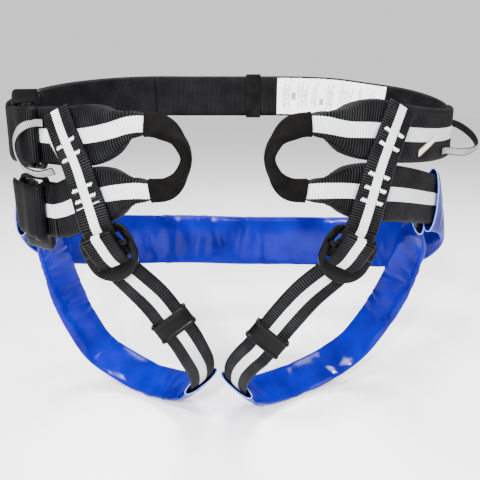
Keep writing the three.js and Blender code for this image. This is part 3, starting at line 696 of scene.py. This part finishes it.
# ---------------------------------------------------------------- risers, leg buckles and leg loops
KEEPER_AT = 2
SIDES = {
    "right": {
        "buckle": Local((90, 15, -76), (-0.45, 0, -0.89), (0.2, -0.98, 0)),
        "riser": [
            [130, 33.6, 34, 0.42, -0.91, 0], [123.6, 28.3, 18, 0.4, -0.92, 0],
            [113.5, 20.8, -9, 0.35, -0.94, 0],
            [108, 16.4, -28, 0.3, -0.95, 0], [103.6, 13.6, -44, 0.25, -0.97, 0],
        ],
        "strap": [
            [61, 14.2, -108, -0.05, -0.98, 0], [47, 13.2, -123.5, -0.15, -0.98, 0.1],
            [30, 12.7, -145.5, -0.15, -0.98, 0.1], [21, 12.4, -157.2, -0.15, -0.98, 0.1],
            [15, 20, -167, -0.35, -0.93, -0.05], [6, 44, -192, -0.6, -0.75, -0.3],
            [5, 73, -221, -0.65, -0.45, -0.6], [15, 97, -243, -0.5, -0.1, -0.86],
            [37, 117, -250, -0.35, 0.25, -0.9],
            [68, 140, -252, -0.15, 0.5, -0.85], [102, 155, -243, 0.1, 0.62, -0.78],
            [131, 160, -223, 0.36, 0.66, -0.66],
            [152, 156, -190, 0.62, 0.68, -0.4], [166, 145, -153, 0.8, 0.6, 0],
            [172, 130, -118, 0.88, 0.45, 0.1],
            [174, 117, -90, 0.92, 0.38, 0.05], [173, 107, -70, 0.9, -0.1, 0],
            [167, 92, -47, 0.82, -0.57, 0],
        ],
    },
    "left": {
        "buckle": Local((-90.5, 14, -74), (0.41, 0, -0.91), (-0.2, -0.98, 0)),
        "riser": [
            [-130.5, 34.8, 31, -0.42, -0.91, 0], [-125, 30.6, 15, -0.4, -0.92, 0],
            [-114, 23, -10, -0.35, -0.94, 0],
            [-108.7, 18.4, -26, -0.3, -0.95, 0], [-104.5, 14.4, -38, -0.25, -0.97, 0],
        ],
        "strap": [
            [-69.5, 14.4, -101.5, 0, -1, 0], [-57, 13.3, -114, 0.15, -0.98, 0.1],
            [-44, 12.9, -132.7, 0.15, -0.98, 0.1], [-35, 12.5, -145.7, 0.15, -0.98, 0.1],
            [-30, 20, -160, 0.35, -0.93, -0.05], [-25, 44, -188, 0.6, -0.75, -0.3],
            [-28, 73, -217, 0.65, -0.45, -0.6], [-39, 98, -239, 0.5, -0.1, -0.86],
            [-57, 117, -247, 0.35, 0.25, -0.9],
            [-88, 140, -252, 0.15, 0.5, -0.85], [-118, 155, -244, -0.1, 0.62, -0.78],
            [-145, 159, -225, -0.36, 0.66, -0.66], [-161, 154, -192, -0.62, 0.68, -0.4],
            [-170, 143, -155, -0.8, 0.6, 0], [-173, 130, -118, -0.88, 0.45, 0.1],
            [-173, 117, -92, -0.92, 0.38, 0.05],
            [-170, 105, -72, -0.9, -0.1, 0], [-162, 90, -50, -0.7, -0.7, 0],
        ],
    },
}
RISER_TURN = turn_radius(3, 2.2)
WRAP_TOP, WRAP_N, WRAP_TURN = -13.8, 8.9, 2.3    # the wrap's rolled top, in front of the riser
TOP_EDGE = -20 + 5 - 1.5


def keeper_mesh(name, centre, along, front, wide=33.6, thick=11.6, length=16.5):
    """Moulded strap keeper: a flat rounded tube with a thicker lip at each end."""
    axis = Local(centre, along, front)
    at = np.linspace(-length / 2, length / 2, 34)
    run = np.array([[*axis.at(u, -1.5), *axis.n] for u in at])

    def lips(s, angle, x, y):
        end = np.minimum(s, s[-1] - s)
        lip = 0.8 / (1 + np.exp((end - 2.6) * 4)) - 0.9 * np.exp(-((end / 0.35) ** 2)) * 0.6
        across = np.sign(x) * lip * 0.8 * np.abs(2 * x / wide)
        return np.stack([across, np.sign(y) * lip * np.abs(2 * y / thick)], -1)

    return flat_tube(name, run, wide - 2, thick - 2, 1.1, 0.3, around=64, power=5, shape=lips)


for side, parts in SIDES.items():
    buckle, strap = parts["buckle"], parts["strap"]
    foot = buckle.point(-21.5, RISER_TURN + 0.4, 0, 1)
    riser = np.vstack([
        spline([*parts["riser"], foot], PER), spline([foot, buckle.point(TOP_EDGE, RISER_TURN, 0, 1)], 8)[1:],
        buckle.half_turn(TOP_EDGE, 0, RISER_TURN, 1),
        spline([buckle.point(TOP_EDGE, -RISER_TURN, 0, -1), buckle.point(-20, -RISER_TURN + 0.2, 0, -1)], 4),
    ])
    piece = webbing(f"{side}_riser_strap", smooth(riser, 2), STRAP, 7.4, 0.3)
    dress(piece, "strap", node=f"{side}_riser")

    wrap = np.vstack([
        spline([
            buckle.point(15, -3.0, 0.3, 1), buckle.point(12.2, -2.0, 0.7, 1),
            buckle.point(9.6, 1.2, 0.8, 1),
            buckle.point(6, 4.6, 0.5, 1), buckle.point(0, 7.4, 0.3, 1), buckle.point(-7, 9.3, 0.2, 1),
            buckle.point(WRAP_TOP, WRAP_N + WRAP_TURN, 0, 1),
        ], 10),
        buckle.half_turn(WRAP_TOP, WRAP_N, WRAP_TURN, -1),
        spline([
            buckle.point(WRAP_TOP, WRAP_N - WRAP_TURN, 0, -1), buckle.point(-9.6, 4.0, -0.5, -1),
            buckle.point(-7.4, 1.2, -0.5, -1), buckle.point(-4, 0.35, 0, -1),
            buckle.point(0, -0.8, -0.5, -1),
            buckle.point(3.5, -4.4, -0.5, -1), buckle.point(7, LOAD_N - TAIL_STEP, 0, -1),
        ], 8),
    ])
    piece = webbing(f"{side}_leg_wrap", smooth(wrap, 3), STRAP, 7.4, 0.3)
    dress(piece, "strap", f"{side}_leg_bar", f"{side}_strap_wrap")

    entry = [buckle.point(13.5, LOAD_N - 0.6, 0, 1), buckle.point(17, LOAD_N, 0, 1)]
    leg = np.vstack([spline(entry, 6)[:-1], spline([entry[1], *strap], PER)])
    near, far = buckle.at(42, -4) * MM, buckle.at(15, -4) * MM
    piece = webbing(f"{side}_leg_strap", smooth(leg, 6), STRAP, 7.4, 0.3)
    dress(piece, "strap", None, f"{side}_leg_webbing")
    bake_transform(piece)
    tail = shifted(smooth(leg, 6), -TAIL_STEP)[: 6 + 6 * PER]
    piece = webbing(f"{side}_leg_strap_tail", tail, STRAP, 7.4, 0.3)
    dress(piece, "strap", None, f"{side}_leg_tail")
    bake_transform(piece)

    along = np.array(strap[KEEPER_AT][:3]) - np.array(strap[KEEPER_AT - 1][:3], float)
    piece = keeper_mesh(f"{side}_strap_keeper", strap[KEEPER_AT][:3], along, strap[KEEPER_AT][3:6])
    dress(piece, "plastic", f"{side}_leg_keeper", f"{side}_leg_keeper")

    covered = spline([entry[1], *strap], PER)[7 * PER : 17 * PER + 1]
    creases = wrinkles(11 if side == "left" else 5, 37, 8, 24, ((0.12, 9, 0.06), (0.30, 7, 0.05)))
    piece = flat_tube(f"{side}_leg_cover", covered, 37.5, 7.6, 0.9, 0.8, around=84, power=2.5, shape=creases)
    dress(piece, "sleeve", node=f"{side}_leg_sleeve")

# ---------------------------------------------------------------- metal, keeper, label
def ring_plate(name, axis, outer, inner, thick, edge=0.7, dish=None):
    """A plate with one window, from matched outlines (u, w), with rounded edges; dish(u, w) lifts it."""
    half = thick / 2
    out = outer - inner
    width = np.linalg.norm(out, axis=1, keepdims=True)
    out = out / width
    profile = [
        (0, 0, -half + edge), (0, 0, half - edge), (0, 0.3 * edge, half - 0.3 * edge), (0, edge, half),
        (1, -edge, half), (1, -0.3 * edge, half - 0.3 * edge), (1, 0, half - edge),
        (1, 0, -half + edge), (1, -edge, -half), (0, edge, -half),
    ]
    rings = []
    for end, inset, n in profile:
        uw = (outer if end else inner) + out * inset
        lift = n if dish is None else n + dish(uw[:, 0], uw[:, 1])
        rings.append(axis.c + uw[:, :1] * axis.u + uw[:, 1:] * axis.w + np.reshape(lift, (-1, 1)) * axis.n)
    rings = np.array(rings)[:, ::-1]
    around = np.linspace(0, 100, rings.shape[1])[None]
    return new_object(name, closed_mesh(name, rings, around, np.arange(len(profile)), wrap=True))


def rounded(u0, u1, w0, w1, r, count=24):
    """A rounded rectangle as points (u, w), starting on the +u side and turning towards +w."""
    points = []
    corners = (u1 - r, w1 - r, 0), (u0 + r, w1 - r, 90), (u0 + r, w0 + r, 180), (u1 - r, w0 + r, 270)
    for u, w, start in corners:
        for angle in np.radians(np.linspace(start, start + 90, count)):
            points.append((u + r * math.cos(angle), w + r * math.sin(angle)))
    return np.array(points)


def match_angles(outline_points, centre, count=160):
    """Points of an outline at even angles about a centre inside it."""
    d = outline_points - centre
    angle = np.unwrap(np.arctan2(d[:, 1], d[:, 0]))
    order = np.argsort(np.mod(angle, 2 * math.pi))
    a, p = np.mod(angle, 2 * math.pi)[order], outline_points[order]
    a = np.concatenate([a[-1:] - 2 * math.pi, a, a[:1] + 2 * math.pi])
    p = np.vstack([p[-1:], p, p[:1]])
    at = np.linspace(0, 2 * math.pi, count, endpoint=False)
    return np.stack([np.interp(at, a, p[:, k]) for k in (0, 1)], 1)


def shield():
    """Outline of the leg buckle plate."""
    def bezier(points, count=30):
        t = np.linspace(0, 1, count, endpoint=False)[:, None]
        p = [np.array(q, float) for q in points]
        return (1 - t) ** 3 * p[0] + 3 * t * (1 - t) ** 2 * p[1] + 3 * t**2 * (1 - t) * p[2] + t**3 * p[3]

    half = np.vstack([
        bezier([(23, 0), (22.6, 12), (15, 21), (4, 22)]),
        bezier([(4, 22), (-4, 22.6), (-9, 22.4), (-13, 21)]),
        bezier([(-13, 21), (-18, 19), (-20, 16), (-20, 11)]),
        bezier([(-20, 11), (-20.3, 7), (-20.3, 3), (-20.3, 0)]),
    ])
    return np.vstack([half, [half[-1][0], 0.0] * np.ones((1, 2)), half[::-1] * [1, -1]])


def buckle_window():
    half = [(10.6, 0), (10.6, 12.8), (9.8, 14.2), (8, 14.9), (6, 14.6), (4.5, 14.0), (-1, 14.0), (-3, 14.4),
            (-5.2, 15.4), (-8, 15.2), (-9.5, 14.2), (-13, 13.8), (-14.6, 12.8), (-15, 11), (-15, 0)]
    half = np.array(half, float)
    return np.vstack([half, half[::-1] * [1, -1]])


def cross_bar(name, axis, u, n, wide, thick, length, shift=0.0):
    """A flat rounded bar lying across a frame."""
    angle = np.linspace(0, 2 * math.pi, 32, endpoint=False)
    x = np.sign(np.cos(angle)) * np.abs(np.cos(angle)) ** 0.6 * wide / 2
    y = np.sign(np.sin(angle)) * np.abs(np.sin(angle)) ** 0.6 * thick / 2
    ends = np.array([0, 0.15, 0.6, length - 0.6, length - 0.15, length]) - length / 2 + shift
    size = np.array([0.7, 0.9, 1, 1, 0.9, 0.7])
    rings = np.array([[axis.at(u + a * k, n + b * k, w) for a, b in zip(x, y)] for w, k in zip(ends, size)])
    return new_object(name, closed_mesh(name, rings, angle[None] * 3, ends))


CENTRE = np.array([-2.0, 0.0])
for side, parts in SIDES.items():
    body = f"{side}_leg_buckle"
    outer, inner = match_angles(shield(), CENTRE), match_angles(buckle_window(), CENTRE)

    def dish(u, w):
        return 0.035 * np.maximum(np.hypot(u + 2, w * 0.9) - 15, 0) ** 1.5 * np.where(u > -14, 1, 0.3)

    plate = ring_plate(f"{side}_buckle_plate", parts["buckle"], outer, inner, 2.8, 0.9, dish)
    dress(plate, "metal", body, f"{body}_frame")
    bar = cross_bar(f"{side}_buckle_slide_bar", parts["buckle"], -4, 4, 4, 3.4, 38)
    dress(bar, "metal", f"{side}_leg_bar", f"{body}_bar")

for level, shift in (("upper", -4), ("lower", 4)):
    axis = HIPS[level]
    middle = np.array([19.0, 0.0])
    outer = match_angles(rounded(0, 38, shift - 32, shift + 32, 6), middle, 240)
    inner = match_angles(rounded(6, 34, -24, 24, 2.5), middle, 240)
    piece = ring_plate(f"{level}_hip_plate", axis, outer, inner, 3.4, 0.9)
    dress(piece, "metal", "harness", f"{level}_hip_buckle_frame")
    bar = cross_bar(f"{level}_hip_slide_bar", axis, 1 + 9 / 2 - 1.6, BAR_N, 9, 3.2, 50)
    dress(bar, "metal", f"{level}_hip_bar", f"{level}_hip_buckle_bar")

straight = np.array([[x, 280, 41, 0, 1, 0] for x in np.linspace(15.5, 32.5, 20)], float)
piece = flat_tube("elastic_keeper", straight, 49.6, 6.6, 1.4, 0.25, around=72, power=4, rib=0.3, pitch=1.3)
dress(piece, "elastic", "waist_keeper", "waist_keeper")

label_run = shifted(belt_run, -HALF_WEB - 0.55)
label_run = label_run[(label_run[:, 0] > 52) & (label_run[:, 0] < 172) & (label_run[:, 1] > 240)]


def cloth_strip(name, run, width, thick, columns=60):
    """A thin flat label with square corners and a faint waviness along its edges."""
    run = even(run, 1.0)
    s = run[:, -1:]
    _, n, w = frames(run)
    x = np.linspace(-width / 2, width / 2, columns + 1)
    x = np.concatenate([x, x[::-1]])[None]
    side = np.sign(np.concatenate([np.ones(columns + 1), -np.ones(columns + 1)]))[None]
    wave = 0.12 * np.sin(s * 0.35) * (np.abs(x) / width * 2) ** 4
    y = side * thick / 2 + np.broadcast_to(wave, (len(s), x.shape[1]))
    xs = np.broadcast_to(x, y.shape) + 0.12 * np.sin(s * 0.9)
    rings = run[:, None, :3] + xs[..., None] * w[:, None] + y[..., None] * n[:, None]
    return new_object(name, closed_mesh(name, rings, x, s[:, 0]))


def label_finish(width):
    """White coated label: rows of plain bars for the print and two small boxes."""
    f = Finish("printed_label", Sheen_Weight=0.1, Specular_IOR_Level=0.35)
    x, s = f.strip()

    def between(value, low, high):
        return f.math("MULTIPLY", f.math("GREATER_THAN", value, low), f.math("LESS_THAN", value, high))

    def box(s0, s1, x0, x1):
        return f.math("MULTIPLY", between(s, s0, s1), between(x, x0, x1))

    ink = None
    rows = [(6, 15, 4), (24, 36, 5), (40, 47, 3), (58, 66, 4), (72, 88, 6), (94, 99, 2), (106, 114, 3)]
    for a, b, count in rows:
        for i in range(count):
            along = a + (b - a) * (i + 0.5) / count
            reach = width * (0.22 + 0.16 * ((i * 7 + int(a)) % 5) / 4)
            bar = box(along - 0.55, along + 0.55, -reach, reach)
            ink = bar if ink is None else f.math("MAXIMUM", ink, bar)
    dashes = f.math("GREATER_THAN", f.noise(900, 1), 0.47)
    ink = f.math("MULTIPLY", ink, dashes)
    for square in (box(17, 22, -4, 4), box(50, 55, 2, 9)):
        ink = f.math("MAXIMUM", ink, f.math("MULTIPLY", square, 0.8))
    grey = f.mix(f.ramp(f.noise(60, 5), 0.3, 0.9), (0.80, 0.80, 0.79), (0.66, 0.66, 0.63))
    f.colour(f.mix(f.math("MULTIPLY", ink, 0.95), grey, (0.05, 0.05, 0.06)))
    f.rough(f.math("ADD", 0.42, f.math("MULTIPLY", f.noise(200, 3), 0.25)))
    f.bump(f.math("ADD", f.wave(x, 0.5), f.wave(s, 0.5)), 0.00003)
    return f.material


label_length = float(np.linalg.norm(np.diff(label_run[:, :3], axis=0), axis=1).sum())
FINISH["label"] = label_finish(LABEL_WIDTH)
label = cloth_strip("sewn_label", label_run, LABEL_WIDTH, 0.5)
dress(label, "label", node="care_label")

# ---------------------------------------------------------------- gear loops
RIGHT_GEAR = [
    [213.5, 204, 18, 0.9, 0.4, 0], [222, 200, 16, 0.75, 0.6, -0.1], [233, 190, 13, 0.85, 0.4, -0.2],
    [241, 170, 4, 0.95, 0.1, -0.3], [238, 147, -5, 0.9, -0.3, -0.3], [224, 130, -9, 0.7, -0.7, -0.1],
    [213, 124, -9, 0.6, -0.8, 0], [204, 121, -8, 0.75, -0.65, 0], [196.6, 117.4, -7, 0.83, -0.56, 0],
    [190.6, 108.8, -7, 0.83, -0.56, 0],
]
roll = HIPS["upper"]
LEFT_GEAR = [
    roll.point(-9, 7.2, 0, 1, -10), roll.point(-4, 11, -0.8, 0.6, -10), roll.point(0, 17.5, -0.5, 0.8, -8),
    roll.point(6, 20, 0.1, 1, -3), roll.point(11, 20.5, 0.5, 0.9, 6), roll.point(10, 20, 0.5, 0.8, 16, 0.3),
    roll.point(4, 18.5, 0.2, 0.8, 25, 0.5), roll.point(-7, 14, -0.3, 0.7, 29.5, 0.5),
    roll.point(-19, 8.5, -0.4, 0.8, 27, 0.4),
]
GEAR_BEND = {
    "right": ((202.05, 156.4, 5.5), (250, 147, -4)),
    "left": (roll.at(0, 8), roll.at(0, 33)),
}
for side, controls in (("right", RIGHT_GEAR), ("left", LEFT_GEAR)):
    run = spline(controls, PER)
    piece = webbing(f"{side}_gear_tape", shifted(run, 0.55), {**GEAR, "thick": 1.0}, rib_height=0.12)
    dress(piece, "gear", None, f"{side}_gear_loop")
    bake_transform(piece)
    lining = {**GEAR, "thick": 0.9, "width": 6.8}
    piece = webbing(f"{side}_gear_tape_lining", shifted(run, -0.5), lining, rib_height=0.12)
    dress(piece, "gear_lining", None)
    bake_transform(piece)


# ---------------------------------------------------------------- stitching
def rim(obj, last=True):
    """The edge of a sleeve's mouth as a closed path of points, in millimetres."""
    around = obj["around"]
    row = len(obj.data.vertices) // around // 2 - 1 if last else 0
    points = np.array([v.co for v in obj.data.vertices[row * around : (row + 1) * around]]) / MM
    return np.vstack([points, points[:2]])


def surface(run, s_at, x_at, lift):
    """Points over a run's front face at arc lengths s_at, widths x_at and heights lift."""
    rows = even(run, 0.5)
    _, n, w = frames(rows)
    s_at, x_at, lift = np.broadcast_arrays(np.asarray(s_at, float), x_at, lift)
    pick = [
        np.stack([np.interp(s_at, rows[:, -1], a[:, k]) for k in range(3)], -1) for a in (rows[:, :3], n, w)
    ]
    return pick[0] + pick[2] * x_at[..., None] + pick[1] * lift[..., None]


def bar_tack(run, s0, s1, x0, x1, high, width=2.6):
    """A dense zigzag bar tack between two points of a run's face: one thread path."""
    steps = max(int(math.hypot(s1 - s0, x1 - x0) / 0.75), 6)
    f = np.linspace(0, 1, steps * 4 + 1)
    along = np.array([s1 - s0, x1 - x0], float)
    across = np.array([-along[1], along[0]]) / np.linalg.norm(along)
    swing = width / 2 * (2 / math.pi) * np.arcsin(np.sin(f * steps * math.pi))
    s_at, x_at = s0 + along[0] * f + across[0] * swing, x0 + along[1] * f + across[1] * swing
    return surface(run, s_at, x_at, high + 0.12 * np.cos(f * steps * 2 * math.pi))


def running_stitch(run, s0, s1, x0, x1, high, pitch=2.6):
    """Short stitches from one point of a face to another."""
    count = max(int(math.hypot(s1 - s0, x1 - x0) / pitch), 1)
    paths = []
    for i in range(count):
        f = (i + np.linspace(0.1, 0.82, 6)) / count
        dip = np.array([-0.35, 0.08, 0.18, 0.18, 0.08, -0.35])
        paths.append(surface(run, s0 + (s1 - s0) * f, x0 + (x1 - x0) * f, high + dip))
    return paths


TACKS = {
    "right": [(21, 3.9, 9.5), (32, 3.9, 9.5), (55, 3.9, 9.5), (65.5, 3.9, 9.5), (75, 3.9, 9.5)],
    "left": [(26, 3.9, 9.5), (37, 3.9, 9.5), (62, 3.9, 9.5), (70.5, 3.9, 9.5)],
}
for side, rows in TACKS.items():
    riser = spline(SIDES[side]["riser"], PER)
    paths = []
    for at, x0, x1 in rows:
        paths.append(bar_tack(riser, at, at + 0.3, x0, x1, 1.6))
        paths.append(bar_tack(riser, at + 0.8, at + 0.4, -x0, -x1, 1.6))
    if side == "left":
        paths.append(bar_tack(riser, 78.5, 79.5, -10.5, 10.5, 1.35))
    dress(threads(f"{side}_riser_tacks", paths, 0.38), "white_thread", "harness")
# Hems round the sleeve mouths, their pale blue partly a painted highlight along each rim.
for name in ("seat_cover", "left_leg_cover", "right_leg_cover"):
    paths = [rim(bpy.data.objects[name], last) for last in (False, True)]
    dress(threads(f"{name}_hems", paths, 0.55, 8), "hem", "harness")
BAND_TACKS = {"right": (right_run, 88, 124, 1, 15, 2.0, 5.2), "left": (left_run, 2, 13, -2, -16, 1.5, 4.2)}
for side, where in BAND_TACKS.items():
    piece = threads(f"{side}_band_tack", [bar_tack(*where)], 0.4)
    dress(piece, "cream_thread", "harness")

edge = LABEL_WIDTH / 2 - 1.6
paths = []
for x0 in (-edge, edge):
    paths += running_stitch(label_run, 2.5, label_length - 2.5, x0, x0, 0.28, 2.4)
for s0 in (2.0, label_length - 2.0):
    paths += running_stitch(label_run, s0, s0, -edge, edge, 0.28, 2.4)
dress(threads("label_stitches", paths, 0.22), "white_thread", "harness")

# ---------------------------------------------------------------- floor, light and camera
bpy.ops.mesh.primitive_plane_add(size=12, location=(0, 1.2, FLOOR_Z))
floor = bpy.context.object
floor.name = "studio_floor"
paper = Finish("studio_paper", Specular_IOR_Level=0.1)
paper.colour(paper.mix(paper.noise(3, 2), (0.93, 0.93, 0.93), (0.96, 0.96, 0.96)))
paper.rough(paper.math("ADD", 0.85, paper.math("MULTIPLY", paper.noise(20, 2), 0.1)))
floor.data.materials.append(paper.material)

world = bpy.data.worlds.new("studio")
bpy.context.scene.world = world
world.use_nodes = True
world.node_tree.nodes["Background"].inputs[0].default_value = (1, 1, 1, 1)
world.node_tree.nodes["Background"].inputs[1].default_value = WORLD_LIGHT


def soft_light(name, place, target, size, watts):
    lamp = bpy.data.lights.new(name, "AREA")
    lamp.shape, lamp.size, lamp.energy = "DISK", size, watts
    obj = bpy.data.objects.new(name, lamp)
    bpy.context.scene.collection.objects.link(obj)
    obj.location = place
    obj.rotation_euler = (Vector(target) - Vector(place)).to_track_quat("-Z", "Y").to_euler()


soft_light("key", (-0.5, -0.8, 1.0), (0, 0.1, -0.05), 0.3, 42)
soft_light("fill", (0.9, -0.8, 0.5), (0, 0.1, -0.05), 0.5, 16)
soft_light("front", (-0.12, -0.62, 0.25), (0, 0.1, -0.05), 0.06, 16)
soft_light("top", (0.1, 0.5, 1.2), (0, 0.1, 0), 0.7, 40)

lens = bpy.data.cameras.new("camera")
lens.lens, lens.sensor_width = 40.5, 36
camera = bpy.data.objects.new("camera", lens)
bpy.context.scene.collection.objects.link(camera)
camera.location = (0.0084, -0.3821, 0.0419)
camera.rotation_euler = (math.radians(75), 0, 0)
bpy.context.scene.camera = camera
